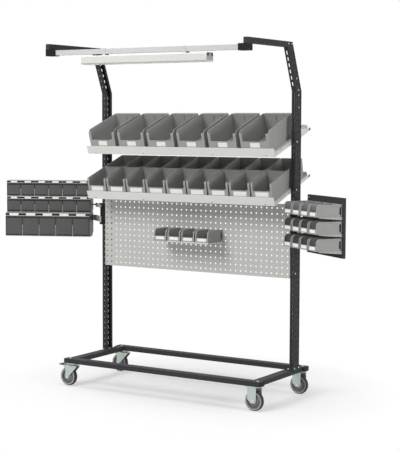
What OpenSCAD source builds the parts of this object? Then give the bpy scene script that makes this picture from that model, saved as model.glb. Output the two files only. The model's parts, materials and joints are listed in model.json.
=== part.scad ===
// Mobile bin cart: a castor base, two slotted uprights with canted heads, two sloping bin shelves,
// a perforated panel, a lamp on a cross rail and two swing-out bin carriers.
// Millimetres, +Z up, front at -Y. The origin is on the floor under the middle of the base.

/* [Base] */
// Overall width of the base, over the rail end caps
base_w = 1500; // [1300:10:1700]
// Overall depth of the base
base_d = 650; // [560:10:800]
// Width of the flat base rails
rail_w = 60; // [54:1:80]
// Height of the flat base rails
rail_h = 30; // [25:1:40]
// Wall thickness of the base rails
rail_wall = 2; // [1.5:0.5:3]
// How far the side rails sit in from the ends of the base
side_inset = 15; // [5:1:25]
// Flange thickness of the rail end caps
cap_t = 3; // [2:0.5:5]
// Thread diameter of the frame bolts
bolt_d = 8; // [6:1:10]

/* [Castors] */
// Diameter of the wheels
wheel_d = 125; // [100:5:150]
// Height of the rails above the top of the wheels
castor_room = 30; // [28:1:45]
// Width of the tyres
tyre_w = 32; // [26:1:38]
// Radial thickness of the tyres
tyre_t = 14; // [10:1:18]
// Diameter of the axles
axle_d = 12; // [8:1:16]
// Distance from a swivel axis to the axle behind it
trail = 34; // [28:1:42]
// Distance from the end of the base to the middle of a castor plate
castor_inset = 53; // [50:1:80]
// Length of the castor plates
plate_l = 100; // [90:1:110]
// Thickness of the castor plates
plate_t = 4; // [3:0.5:6]
// Diameter of the king pins of the swivelling castors
king_d = 12; // [10:1:16]
// Thickness of the pressed castor forks
fork_t = 3; // [2:0.5:4]
// Length of the brake pedals behind their hinge
pedal_l = 48; // [38:1:60]

/* [Uprights] */
// Width of the uprights, across the cart
upright_w = 30; // [26:1:40]
// Depth of the uprights, front to back
upright_d = 75; // [66:1:90]
// Sheet thickness of the uprights
sheet = 2; // [1.5:0.5:3]
// Depth of the lips beside the open side of the uprights
lip_d = 18; // [12:1:24]
// How far the front of the uprights is behind the middle of the base
upright_y = 112; // [90:1:130]
// Height at which the uprights bend forward
bend_z = 1957; // [1850:1:2000]
// Height of the top of the uprights, under the lamp arms
arm_z = 2224; // [2150:1:2300]
// Lean of the heads of the uprights
cant = 22.5; // [15:0.5:28]
// Pitch of the holes in the uprights and the perforated panel
pitch = 38; // [32:1:44]
// Width of the slots in the front of the uprights
slot_w = 7; // [5:1:12]
// Height of the slots in the front of the uprights
slot_h = 24; // [16:1:28]
// Diameter of the round holes in the sides of the uprights
hole_d = 9; // [6:0.5:11]
// Thickness of the feet of the uprights
foot_t = 6; // [4:0.5:8]

/* [Lamp] */
// Height of the lamp arms
arm_h = 36; // [30:1:44]
// Distance of the cross rail in front of the middle of the base
rail_y = 464; // [400:1:520]
// Depth of the cross rail
cross_d = 36; // [28:1:40]
// Height of the cross rail
cross_h = 32; // [26:1:36]
// Width of the clamps at the ends of the cross rail
clamp_w = 66; // [56:1:80]
// Length of the lamp
lamp_l = 932; // [700:2:1100]
// Depth of the lamp
lamp_d = 80; // [66:1:100]
// Height of the lamp with its diffuser
lamp_h = 56; // [46:1:70]
// Thickness of the diffuser edge
diffuser_t = 8; // [6:1:12]
// Room between the lamp and the cross rail
lamp_gap = 9; // [6:1:16]
// Distance between the two lamp hangers
hanger_span = 600; // [400:10:680]

/* [Shelves] */
// Slope of the shelves
tilt = 20; // [12:1:26]
// How far the shelf lips are in front of the middle of the base
shelf_y = 90; // [70:1:110]
// Height of the lower edge of the upper shelf
upper_z = 1548; // [1520:1:1600]
// Height of the lower edge of the lower shelf
lower_z = 1246; // [1230:1:1270]
// Depth of the shelves along the slope
shelf_d = 465; // [450:1:520]
// Height of the front lips of the shelves
front_lip = 56; // [46:1:66]
// Height of the shelf floor above the lower edge of the lip
floor_up = 18; // [14:1:24]
// Sheet thickness of the shelves
shelf_t = 1.5; // [1:0.25:2.5]
// Plate thickness of the shelf arms
arm_t = 2; // [1.5:0.5:3]

/* [Shelf bins] */
// Length of the bins on the upper shelf
big_l = 343; // [300:1:380]
// Width of the bins on the upper shelf
big_w = 208; // [180:1:220]
// Height of the bins on the upper shelf
big_h = 145; // [120:1:160]
// Gap between the bins on the upper shelf
big_gap = 25; // [10:1:40]
// Length of the bins on the lower shelf
mid_l = 230; // [200:1:240]
// Width of the bins on the lower shelf
mid_w = 150; // [130:1:160]
// Height of the bins on the lower shelf
mid_h = 122; // [100:1:135]
// Gap between the bins on the lower shelf
mid_gap = 8; // [5:1:14]
// Wall thickness of the shelf bins
bin_t = 3; // [2:0.5:4]

/* [Panel] */
// Distance of the panel face behind the middle of the base
panel_y = 105; // [84:1:108]
// Height of the middle of the panel
panel_z = 1011; // [980:1:1030]
// Height of the panel
panel_h = 470; // [420:1:500]
// Depth of the folded edges of the panel
fold_d = 25; // [18:1:40]
// Side of the square holes in the panel
square_d = 10; // [6:0.5:14]

/* [Hung bins] */
// Length of the hung bins
hung_l = 174; // [150:1:185]
// Width of the hung bins
hung_w = 105; // [90:1:110]
// Height of the hung bins
hung_h = 75; // [64:1:84]
// Gap between the hung bins
hung_gap = 2; // [1:0.5:4]
// Wall thickness of the hung bins
hung_t = 2; // [1.5:0.25:3]
// Height of the bins on the perforated panel
tray_z = 988; // [940:1:1060]
// Distance of the bins on the panel to the right of its middle
tray_x = 10; // [-100:1:100]

/* [Tilt bins] */
// Width of the tilt bin cabinets
tilt_w = 600; // [540:1:660]
// Height of the two upper cabinets
small_h = 112; // [100:1:124]
// Depth of the two upper cabinets
small_d = 91; // [82:1:100]
// Height of the lowest cabinet
large_h = 164; // [150:1:180]
// Depth of the lowest cabinet
large_d = 133; // [124:1:146]
// Wall thickness of the cabinets
box_t = 3; // [2.5:0.25:4]
// Wall thickness of the tilt bins
cup_t = 2; // [1.5:0.25:2.5]
// Diameter of the tilt bin pins
cup_pin_d = 6; // [5:0.5:7]
// Height of the underside of the lowest cabinet
cabinet_z = 962; // [930:1:1000]

/* [Swing arms] */
// Distance of the swing axes outside the ends of the base
hinge_out = 22; // [20:1:30]
// Distance of the swing axes behind the front of the uprights
hinge_back = 18; // [15:1:24]
// Height of the underside of the swing brackets
bracket_z = 1055; // [1040:1:1090]
// Height of the swing brackets
bracket_h = 146; // [130:1:180]
// Diameter of the swing pins
swing_d = 16; // [12:1:18]
// Angle of the left carrier to the front of the cart
left_turn = 25; // [0:1:60]
// Angle of the right carrier to the front of the cart
right_turn = 34.5; // [0:0.5:38]
// Distance from the left swing axis to the cabinets
left_reach = 87; // [80:1:120]
// Distance from the left swing axis back to the backs of the cabinets
left_back = 149; // [145:1:180]
// Width of the right bin panel
side_w = 450; // [445:1:520]
// Height of the right bin panel
side_h = 363; // [335:1:400]
// Height of the underside of the right bin panel
side_z = 950; // [920:1:970]
// Distance from the right swing axis to the panel
side_reach = 46; // [40:1:70]
// Pitch of the bin rows on the right panel
row_pitch = 102; // [95:1:110]

/* [Clearances] */
// Radial clearance of running pins and axles
run = 0.05; // [0.03:0.01:0.1]
// Gap between faces that slide past each other
slide = 0.3; // [0.25:0.05:0.6]
// Gap between parts that are bolted or pressed together
seat = 0.1; // [0.05:0.05:0.2]

/* [Hidden] */
$fn = 48;
SMALL_N = 6;
LARGE_N = 5;
TILT = concat([for (r = [1, 2], c = [1 : SMALL_N]) [r, c]], [for (c = [1 : LARGE_N]) [3, c]]);
function tilt_name(i) = str("tilt_bin_", TILT[i][0], "_", TILT[i][1]);

half_w = base_w / 2;
castor_h = wheel_d + castor_room;
rail_top = castor_h + rail_h;
long_y = base_d / 2 - rail_w / 2;
castor_x = half_w - castor_inset;
corner_x = half_w - side_inset - 16;
bolt_r = bolt_d / 2;
head_r = bolt_r * 1.9;

wheel_r = wheel_d / 2;
rim_r = wheel_r - tyre_t;
axle_r = axle_d / 2;
hub_w = tyre_w + 4;
fork_in = hub_w / 2 + slide;
fork_out = fork_in + fork_t;
king_r = king_d / 2;
plate_z = castor_h - plate_t;
crown_t = fork_t + 2;
race_h = castor_room - plate_t - slide - crown_t - 10;
crown_top = plate_z - race_h - slide;
crown_z = crown_top - crown_t;
leg_r = axle_r + 10;
pedal_x = trail + 18;
pedal_z = wheel_d + 3.2;
pedal_pin_r = 3;

upright_x = half_w - upright_w;
upright_h = arm_z - rail_top;
bend_h = bend_z - rail_top;
head_rear = upright_y + upright_d - (arm_z - bend_z) * tan(cant);
slot_first = rail_top + 30;
slot_rows = floor((arm_z - 22 - slot_first) / pitch);
foot_in = upright_w;
foot_bolt_x = upright_x - foot_in / 2;

cross_z = arm_z - 5 - cross_h;
clamp_h = cross_h + 10;
clamp_y0 = -rail_y - cross_d / 2 - 18;
clamp_d = cross_d + 24;
pocket_d = 20;
cross_half = half_w - clamp_w + pocket_d - seat;
lamp_y = -rail_y + 6;
lamp_top = cross_z - lamp_gap;
lamp_z = lamp_top - lamp_h;

arm_x = upright_x - slide - arm_t;
shelf_half = arm_x - slide;
big_pitch = big_w + big_gap;
big_n = floor((2 * shelf_half + big_gap - 8) / big_pitch);
mid_pitch = mid_w + mid_gap;
mid_n = floor((2 * shelf_half + mid_gap - 8) / mid_pitch);
mid_lean = 13;
mid_base = mid_l - mid_lean;

panel_half = upright_x - slide;
panel_cols = floor((2 * panel_half - 24) / pitch);
panel_rows = floor((panel_h - 24) / pitch);

field_t = 0.8;
seat_t = 0.8;
hung_n = 4;
hung_nose = 24;
hung_lean = 5;
hung_taper = 4;
hung_pitch = hung_w + hung_gap;
tray_w = hung_n * hung_pitch + 2;
hook_t = 3;
hook_gap = 7;
hook_z = hung_h * 0.77;
ledge_d = hung_l - 15;

cup_z = 12;
cup_y = 5;
cup_round = 7;
sill_h = cup_z - cup_round - 0.5;
cup_pin_r = cup_pin_d / 2;
cup_side = 0.4;

hinge_x = half_w + hinge_out;
hinge_y = upright_y + hinge_back;
swing_r = swing_d / 2;
sleeve_r = swing_r + 5;
lug_t = 12;
sleeve_z = bracket_z + lug_t + slide;
sleeve_top = bracket_z + bracket_h - lug_t - slide;
bracket_t = 6;
carrier_t = 3;
side_front = 32.5;
side_fold = 18;
row_up = 46;

module mirrored()
{
  children();
  mirror([1, 0, 0]) children();
}

module front_and_rear()
{
  children();
  mirror([0, 1, 0]) children();
}

// A side view in the Y-Z plane, drawn out to the right from x.
module from_side(x, w)
{
  translate([x, 0, 0]) rotate([90, 0, 90]) linear_extrude(w) children();
}

// A front view in the X-Z plane, drawn out to the back from y.
module from_front(y, d)
{
  translate([0, y + d, 0]) rotate([90, 0, 0]) linear_extrude(d) children();
}

// Base

module tube_x(x, w, y, z)
{
  translate([x, y - rail_w / 2, z]) difference()
  {
    cube([w, rail_w, rail_h]);
    translate([-1, rail_wall, rail_wall]) cube([w + 2, rail_w - 2 * rail_wall, rail_h - 2 * rail_wall]);
  }
}

module bolt_hole()
{
  translate([0, 0, -rail_wall - 2]) cylinder(r = bolt_r + seat, h = rail_wall + 4 + foot_t);
}

// Places for the four bolts of a castor plate.
module castor_bolts()
{
  for (x = [-1, 1], y = [-1, 1]) translate([x * plate_l * 0.4, y * rail_w * 0.15, 0]) children();
}

module castor_bolt_holes()
{
  castor_bolts() translate([0, 0, plate_z - 1]) cylinder(r = bolt_r + seat, h = plate_t + rail_wall + 2);
}

module foot_bolt_holes()
{
  for (y = [0.2, 0.8]) translate([foot_bolt_x, upright_y + y * upright_d, rail_top]) bolt_hole();
}

module base_rails()
{
  side_l = base_d - 2 * rail_w - 2 * seat;
  color("#38393d") front_and_rear() difference()
  {
    tube_x(-half_w + cap_t, base_w - 2 * cap_t, -long_y, castor_h);
    mirrored() translate([corner_x, -long_y, rail_top]) bolt_hole();
    mirrored() at_castor(1, -1) castor_bolt_holes();
  }
  color("#38393d") mirrored() difference()
  {
    translate([half_w - side_inset - rail_w / 2, 0, 0]) rotate([0, 0, 90])
      translate([-side_l / 2, 0, 0]) tube_x(0, side_l, 0, castor_h);
    foot_bolt_holes();
  }
}

module rail_end_caps()
{
  plug_w = rail_w - 2 * rail_wall - 2 * seat;
  plug_h = rail_h - 2 * rail_wall - 2 * seat;
  color("#1e1e20") mirrored() front_and_rear() union()
  {
    translate([half_w - cap_t, -long_y - rail_w / 2, castor_h]) cube([cap_t, rail_w, rail_h]);
    translate([half_w - cap_t - 12, -long_y - plug_w / 2, castor_h + rail_wall + seat])
      cube([13, plug_w, plug_h]);
  }
}

module bolt(grip)
{
  rotate_extrude() union()
  {
    intersection()
    {
      translate([0, -head_r * 0.85]) circle(r = head_r * 1.35);
      square([head_r, head_r]);
    }
    translate([0, -grip]) square([bolt_r, grip + 1]);
  }
}

module frame_bolts()
{
  color("#c9ccca") mirrored()
  {
    front_and_rear() translate([corner_x, -long_y, rail_top]) bolt(rail_wall + foot_t);
    for (y = [0.2, 0.8]) translate([foot_bolt_x, upright_y + y * upright_d, rail_top + foot_t])
      bolt(rail_wall + foot_t);
    for (end = [-1, 1]) at_castor(1, end) castor_bolts() translate([0, 0, plate_z]) mirror([0, 0, 1])
      bolt(plate_t + rail_wall);
  }
}

// Castors, each drawn at its plate with the wheel towards -X

module at_castor(side, end)
{
  translate([side * castor_x, end * long_y, 0]) children();
}

module castor_plate()
{
  difference()
  {
    translate([-plate_l / 2, -rail_w / 2, plate_z]) cube([plate_l, rail_w, plate_t]);
    castor_bolt_holes();
  }
}

module swivel_plate()
{
  head_h = 5;
  castor_plate();
  translate([0, 0, plate_z - race_h]) cylinder(r = king_r + 20, h = race_h + 1);
  translate([0, 0, crown_z - slide - head_h])
  {
    cylinder(r = king_r, h = plate_z - crown_z + slide + head_h);
    cylinder(r = king_r + 4, h = head_h);
  }
}

module swivel_plates()
{
  color("#c3ccc5") for (end = [-1, 1]) at_castor(-1, end) swivel_plate();
}

module swivel_leg()
{
  difference()
  {
    union()
    {
      translate([-trail, wheel_r]) circle(r = leg_r);
      polygon([[-trail - 27, crown_top], [38, crown_top], [38, crown_top - 12],
        [-trail + leg_r - 1, wheel_r + 4], [-trail - leg_r + 1, wheel_r + 4],
        [-trail - leg_r + 1, pedal_z - 14], [-trail - 27, pedal_z - 8]]);
    }
    translate([-trail, wheel_r]) circle(r = axle_r + run);
    translate([-pedal_x, pedal_z]) circle(r = pedal_pin_r + run);
  }
}

module swivel_fork()
{
  difference()
  {
    union()
    {
      translate([-trail - 10, -fork_out, crown_z]) cube([trail + 48, 2 * fork_out, crown_t]);
      translate([0, 0, crown_z]) cylinder(r = king_r + 22, h = crown_t);
      front_and_rear() from_front(-fork_out, fork_t) swivel_leg();
    }
    translate([0, 0, crown_z - 1]) cylinder(r = king_r + run, h = crown_t + 2);
  }
}

module fork_fl()
{
  color("#cdd6cf") at_castor(-1, -1) swivel_fork();
}

module fork_rl()
{
  color("#cdd6cf") at_castor(-1, 1) swivel_fork();
}

// A strap with one edge close to the axle and the other cut back towards it.
module fixed_leg()
{
  wide = plate_l * 0.4;
  slim = leg_r + 4;
  toe = wheel_r - leg_r + 2;
  difference()
  {
    polygon([[-wide, plate_z + 1], [slim, plate_z + 1], [slim, wheel_r], [slim - 6, toe], [-leg_r + 1, toe],
      [-wide, wheel_r + 10]]);
    translate([0, wheel_r]) circle(r = axle_r + run);
  }
}

module fixed_forks()
{
  color("#cdd6cf") for (end = [-1, 1]) at_castor(1, end) union()
  {
    castor_plate();
    for (turn = [0, 180]) rotate([0, 0, turn]) from_front(-fork_out, fork_t) fixed_leg();
  }
}

module axle()
{
  nut_r = axle_r * 1.7;
  nut_h = axle_r;
  rotate([90, 0, 0])
  {
    cylinder(r = axle_r, h = 2 * (fork_out + nut_h), center = true);
    for (s = [-1, 1]) translate([0, 0, s * (fork_out + seat + nut_h / 2)])
      cylinder(r = nut_r, h = nut_h, center = true, $fn = 6);
  }
}

module axle_fl()
{
  color("#b4b8b6") at_castor(-1, -1) translate([-trail, 0, wheel_r]) axle();
}

module axle_rl()
{
  color("#b4b8b6") at_castor(-1, 1) translate([-trail, 0, wheel_r]) axle();
}

module fixed_axles()
{
  color("#b4b8b6") for (end = [-1, 1]) at_castor(1, end) translate([0, 0, wheel_r]) axle();
}

// The tread is crowned by a wide arc across the tyre.
module tyre()
{
  crown = tyre_w * 0.8;
  rotate([90, 0, 0]) rotate_extrude($fn = 96) intersection()
  {
    translate([rim_r, -tyre_w / 2]) square([tyre_t, tyre_w]);
    translate([wheel_r - crown, 0]) circle(r = crown);
  }
}

module wheel_centre()
{
  hub_r = axle_r + 9;
  ring = 6;
  rotate([90, 0, 0]) rotate_extrude($fn = 96) difference()
  {
    union()
    {
      translate([0, -hub_w / 2]) square([hub_r, hub_w]);
      translate([0, -5]) square([rim_r - ring, 10]);
      translate([rim_r - ring - seat, -tyre_w / 2 + 1]) square([ring, tyre_w - 2]);
    }
    translate([-1, -hub_w]) square([axle_r + run + 1, 2 * hub_w]);
  }
}

module tyre_fl()
{
  color("#4a4a4c") at_castor(-1, -1) translate([-trail, 0, wheel_r]) tyre();
}

module tyre_rl()
{
  color("#4a4a4c") at_castor(-1, 1) translate([-trail, 0, wheel_r]) tyre();
}

module tyre_fr()
{
  color("#4a4a4c") at_castor(1, -1) translate([0, 0, wheel_r]) tyre();
}

module tyre_rr()
{
  color("#4a4a4c") at_castor(1, 1) translate([0, 0, wheel_r]) tyre();
}

module wheel_centre_fl()
{
  color("#8c8c8c") at_castor(-1, -1) translate([-trail, 0, wheel_r]) wheel_centre();
}

module wheel_centre_rl()
{
  color("#8c8c8c") at_castor(-1, 1) translate([-trail, 0, wheel_r]) wheel_centre();
}

module wheel_centre_fr()
{
  color("#8c8c8c") at_castor(1, -1) translate([0, 0, wheel_r]) wheel_centre();
}

module wheel_centre_rr()
{
  color("#8c8c8c") at_castor(1, 1) translate([0, 0, wheel_r]) wheel_centre();
}

// Drawn at its hinge, with the pad towards -X and a pin at each end of the hub.
module brake_pedal()
{
  hub_r = 5;
  hub_l = fork_in - slide;
  pad_w = 46;
  rotate([90, 0, 0])
  {
    cylinder(r = hub_r, h = 2 * hub_l, center = true);
    cylinder(r = pedal_pin_r, h = 2 * fork_out - 1, center = true);
  }
  from_front(-hub_l + 3, 2 * hub_l - 6)
    polygon([[-2, -4], [2, 4.5], [-16, 14], [-22, 14], [-22, 9], [-16, 8]]);
  from_front(-pad_w / 2, pad_w)
    polygon([[-15, 9], [-15, 14], [-pedal_l + 3, 16.5], [-pedal_l, 15], [-pedal_l, 11],
      [-pedal_l + 6, 10.5]]);
}

module brake_pedal_fl()
{
  color("#2c2d30") at_castor(-1, -1) translate([-pedal_x, 0, pedal_z]) brake_pedal();
}

module brake_pedal_rl()
{
  color("#2c2d30") at_castor(-1, 1) translate([-pedal_x, 0, pedal_z]) brake_pedal();
}

// Uprights: one bent channel each, open to the inside, with a foot on the side rail

function lean(z) = z > bend_z ? (z - bend_z) * tan(cant) : 0;

module upright_view(inset, over)
{
  top = upright_h + over;
  back = lean(rail_top + top);
  polygon([[inset, -over], [inset, bend_h], [inset - back, top], [upright_d - inset - back, top],
    [upright_d - inset, bend_h], [upright_d - inset, -over]]);
}

module channel()
{
  translate([0, upright_y, rail_top]) difference()
  {
    from_side(upright_x, upright_w) upright_view(0, 0);
    from_side(upright_x + sheet, upright_w - 2 * sheet) upright_view(sheet, 1);
    from_side(upright_x - 1, sheet + 2) upright_view(lip_d, 1);
  }
}

module upright_slots()
{
  for (i = [0 : slot_rows])
  {
    z = slot_first + i * pitch;
    on_head = z > bend_z;
    if (abs(z - bend_z) > slot_h / 2 + 6) translate([0, upright_y - lean(z), z])
    {
      translate([upright_x + upright_w / 2, 0, 0]) rotate([on_head ? cant : 0, 0, 0])
        cube([slot_w, 4 * sheet, slot_h], center = true);
      translate([half_w, upright_d * 0.32, 0]) rotate([0, 90, 0])
        cylinder(r = hole_d / 2, h = 3 * sheet, center = true);
      translate([half_w, upright_d * 0.83, 0]) rotate([on_head ? cant : 0, 0, 0])
        cube([3 * sheet, hole_d, slot_h * 0.8], center = true);
    }
  }
}

module upright()
{
  difference()
  {
    union()
    {
      channel();
      translate([upright_x - foot_in, upright_y, rail_top]) cube([foot_in + upright_w, upright_d, foot_t]);
    }
    upright_slots();
    foot_bolt_holes();
  }
}

module left_upright()
{
  color("#3a3b40") mirror([1, 0, 0]) upright();
}

module right_upright()
{
  color("#3a3b40") upright();
}

// Lamp, its cross rail and the arms

module arm_view(wall)
{
  tip = clamp_y0 + 2;
  rear = head_rear + wall * 4;
  polygon([[tip + wall, wall], [rear, wall], [rear - arm_h * tan(cant), arm_h - wall],
    [tip + wall, arm_h - wall]]);
}

module light_arms()
{
  wall = 2;
  color("#3a3b40") mirrored() translate([0, 0, arm_z]) difference()
  {
    from_side(upright_x, upright_w) arm_view(0);
    from_side(upright_x + wall, upright_w - 2 * wall) arm_view(wall);
  }
}

module rail_clamps()
{
  x0 = half_w - clamp_w;
  color("#242426") mirrored() difference()
  {
    translate([x0, clamp_y0, arm_z - clamp_h]) cube([clamp_w, clamp_d, clamp_h - seat]);
    translate([x0 - 1, -rail_y - cross_d / 2 - seat, cross_z - seat])
      cube([pocket_d + 1, cross_d + 2 * seat, cross_h + 2 * seat]);
  }
}

module cross_rail()
{
  wall = 2;
  color("#eceee8") translate([-cross_half, -rail_y - cross_d / 2, cross_z]) difference()
  {
    cube([2 * cross_half, cross_d, cross_h]);
    translate([-1, wall, wall]) cube([2 * cross_half + 2, cross_d - 2 * wall, cross_h - 2 * wall]);
  }
}

module lamp_view()
{
  bevel = 7;
  h = lamp_h - diffuser_t;
  polygon([[-lamp_d / 2, 0], [lamp_d / 2, 0], [lamp_d / 2, h - bevel], [lamp_d / 2 - bevel, h],
    [-lamp_d / 2 + bevel, h], [-lamp_d / 2, h - bevel]]);
}

module lamp_housing()
{
  wall = 2;
  color("#eceee8") translate([0, lamp_y, lamp_z + diffuser_t]) difference()
  {
    from_side(-lamp_l / 2, lamp_l) lamp_view();
    translate([-lamp_l / 2 + wall, -lamp_d / 2 + wall, -1])
      cube([lamp_l - 2 * wall, lamp_d - 2 * wall, lamp_h - diffuser_t - wall - 6]);
  }
}

module lamp_diffuser()
{
  bevel = 4;
  rim_w = lamp_d - 4 - 2 * slide;
  rim_l = lamp_l - 4 - 2 * slide;
  color("#f6f6f0") translate([0, lamp_y, lamp_z]) difference()
  {
    union()
    {
      from_side(-lamp_l / 2, lamp_l) polygon([[-lamp_d / 2 + bevel, 0], [lamp_d / 2 - bevel, 0],
        [lamp_d / 2, bevel], [lamp_d / 2, diffuser_t], [-lamp_d / 2, diffuser_t], [-lamp_d / 2, bevel]]);
      translate([-rim_l / 2, -rim_w / 2, diffuser_t - 1]) cube([rim_l, rim_w, 7]);
    }
    translate([-rim_l / 2 + 2, -rim_w / 2 + 2, 3]) cube([rim_l - 4, rim_w - 4, diffuser_t + 6]);
  }
}

// A clip round the cross rail that carries the lamp.
module lamp_hangers()
{
  strap = 2;
  clip_w = cross_d + 2 * (strap + seat);
  clip_z = lamp_top;
  clip_h = cross_z + cross_h + seat + strap - clip_z;
  color("#dfe1dc") mirrored() translate([hanger_span / 2 - 12, -rail_y - clip_w / 2, clip_z]) difference()
  {
    cube([24, clip_w, clip_h]);
    translate([-1, strap, lamp_gap - seat]) cube([26, clip_w - 2 * strap, cross_h + 2 * seat]);
    translate([-1, strap, strap]) cube([26, clip_w - 2 * strap, lamp_gap - 2 * strap]);
    translate([-1, clip_w * 0.25, clip_h - 2 * strap]) cube([26, clip_w * 0.5, 3 * strap]);
  }
}

// Shelves, drawn flat from the lower edge of the lip and then tilted

module on_slope(z)
{
  translate([0, -shelf_y, z]) rotate([tilt, 0, 0]) children();
}

module shelf()
{
  w = 2 * shelf_half;
  rear_lip = 25;
  vent_n = floor((shelf_d - 60) / (pitch / 2));
  difference()
  {
    translate([-shelf_half, 0, 0]) difference()
    {
      cube([w, shelf_d, front_lip]);
      translate([shelf_t, shelf_t, -1])
        cube([w - 2 * shelf_t, shelf_d - 2 * shelf_t, floor_up - shelf_t + 1]);
      translate([-1, shelf_t, floor_up]) cube([w + 2, shelf_d - 2 * shelf_t, front_lip]);
      translate([-1, shelf_d - 2 * shelf_t, floor_up + rear_lip]) cube([w + 2, 4 * shelf_t, front_lip]);
    }
    mirrored() for (i = [0 : vent_n])
      translate([shelf_half - 18, 25 + i * pitch / 2, floor_up - shelf_t - 1]) cube([11, 6, shelf_t + 2]);
    mirrored() for (x = [0.37, 0.91]) translate([x * shelf_half - 6, -1, 8]) cube([12, shelf_t + 2, 3]);
  }
}

module upper_shelf()
{
  color("#dcdcd8") on_slope(upper_z) shelf();
}

module lower_shelf()
{
  color("#dcdcd8") on_slope(lower_z) shelf();
}

module shelf_arms()
{
  y0 = 190;
  y1 = shelf_d + 35;
  ledge = 16;
  color("#dcdcd8") for (z = [upper_z, lower_z]) on_slope(z) mirrored() difference()
  {
    union()
    {
      translate([arm_x, y0, -arm_t]) cube([arm_t, y1 - y0, floor_up - 2 + arm_t]);
      translate([arm_x - ledge, y0, -arm_t]) cube([ledge + arm_t, shelf_d - y0, arm_t]);
    }
    translate([arm_x - 1, y1 - 26, 4]) cube([arm_t + 2, 18, 6]);
  }
}

// Open-fronted bins, drawn from the middle of their lower front edge

module draft_view(w, h, slim)
{
  polygon([[-w / 2 + slim, -1], [w / 2 - slim, -1], [w / 2, h + 2], [-w / 2, h + 2]]);
}

module bin_view(l, foot, h, nose, knee)
{
  polygon([[0, 0], [foot, 0], [l, h], [nose, h], [knee, h * 0.87]]);
}

// Side view of a bin whose front rounds over into its rim.
module round_view(l, h, nose, lean)
{
  start = lean * (1 - nose / h);
  difference()
  {
    polygon([[0, 0], [l, 0], [l, h], [lean, h]]);
    translate([start + nose, h - nose]) difference()
    {
      translate([-start - nose - 1, 0]) square([start + nose + 1, nose + 1]);
      circle(r = nose);
    }
  }
}

// A label seat from z0 to z1, sunk square into a front that leans back.
module label_seat(w, z0, z1, slope)
{
  from_side(-w / 2, w) polygon([[-1, z0], [z0 * slope + seat_t, z0], [z1 * slope + seat_t, z1], [-1, z1]]);
}

// A shallow field in both side walls, following their draft.
module side_fields(w, h, slim, y, d)
{
  from_front(y, d) difference()
  {
    translate([-w, h * 0.1]) square([2 * w, h * 0.78]);
    draft_view(w - 2 * field_t, h, slim);
  }
}

// The front wall is cut down to front_h between two posts, with a shallow label seat below the cut.
module shelf_bin(l, foot, w, h, nose, knee, front_h, post, label_w)
{
  slim = w * 0.02;
  difference()
  {
    intersection()
    {
      from_side(-w / 2, w) bin_view(l, foot, h, nose, knee);
      from_front(-1, l + 2) draft_view(w, h, slim);
    }
    intersection()
    {
      from_side(-w / 2, w) translate([bin_t, bin_t])
        bin_view(l - 2 * bin_t, foot - 2 * bin_t, h + 1, nose, knee);
      from_front(-1, l + 2) draft_view(w - 2 * bin_t, h, slim);
    }
    translate([-w / 2 + post, -1, front_h]) cube([w - 2 * post, nose + 12, h]);
    label_seat(label_w, front_h * 0.48, front_h * 0.94, knee / (h * 0.87));
    side_fields(w, h, slim, l * 0.38, l * 0.5);
  }
}

// A hanging lip runs along the top of the back, behind a slit and a small hole.
module big_bin()
{
  lip_z = big_h * 0.6;
  difference()
  {
    union()
    {
      shelf_bin(big_l, big_l - 6, big_w, big_h, 28, 8, big_h * 0.54, 20, big_w * 0.4);
      from_side(-big_w * 0.45, big_w * 0.9) difference()
      {
        translate([big_l - 2.5, lip_z]) square([hook_gap + hook_t + 2.5, big_h - lip_z]);
        translate([big_l, lip_z - 1]) square([hook_gap, big_h - lip_z + 1 - hook_t]);
      }
    }
    translate([-big_w * 0.05 - 2, big_l - 20, big_h * 0.68]) cube([4, 21, big_h * 0.22]);
    translate([big_w * 0.25, big_l + 1, big_h * 0.87]) rotate([90, 0, 0]) cylinder(r = 4, h = 20);
  }
}

module mid_bin()
{
  shelf_bin(mid_l, mid_base, mid_w, mid_h, mid_lean + 6, mid_lean, mid_h * 0.6, 14, mid_w * 0.66);
}

module upper_bins()
{
  color("#8a8b8c") on_slope(upper_z) for (i = [0 : big_n - 1])
    translate([(i - (big_n - 1) / 2) * big_pitch, 2 * shelf_t, floor_up + seat]) big_bin();
}

module lower_bins()
{
  color("#8a8b8c") on_slope(lower_z) for (i = [0 : mid_n - 1], row = [0, 1])
    translate([(i - (mid_n - 1) / 2) * mid_pitch, 2 * shelf_t + row * (mid_base + 1), floor_up + seat])
      mid_bin();
}

// Panel: a sheet with square holes and folded edges

module perforated_panel()
{
  face_t = 1.5;
  w = 2 * panel_half;
  color("#d3d4d2") translate([0, panel_y, panel_z - panel_h / 2])
  {
    from_front(0, face_t) difference()
    {
      translate([-panel_half, 0]) square([w, panel_h]);
      for (i = [0 : panel_cols], j = [0 : panel_rows])
        translate([(i - panel_cols / 2) * pitch, panel_h / 2 + (j - panel_rows / 2) * pitch])
          square(square_d, center = true);
    }
    difference()
    {
      translate([-panel_half, face_t / 2, 0]) cube([w, fold_d - face_t / 2, panel_h]);
      translate([-panel_half + face_t, -1, face_t])
        cube([w - 2 * face_t, fold_d + 2, panel_h - 2 * face_t]);
    }
  }
}

// Hung bins and their trays, drawn from the middle of a panel face, forward to -Y

module hung_hollow(l)
{
  top = hung_nose + hung_lean;
  translate([hung_t, hung_t])
    round_view(l - 2 * hung_t, hung_h - 2 * hung_t, hung_nose - hung_t, hung_lean);
  translate([top, hung_h / 2]) square([l - hung_t - top, hung_h]);
}

// Plan of a hung bin, slimmer at its front.
module hung_plan(w)
{
  polygon([[-w / 2 + hung_taper, -1], [w / 2 - hung_taper, -1], [w / 2, hung_l + 1], [-w / 2, hung_l + 1]]);
}

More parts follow.
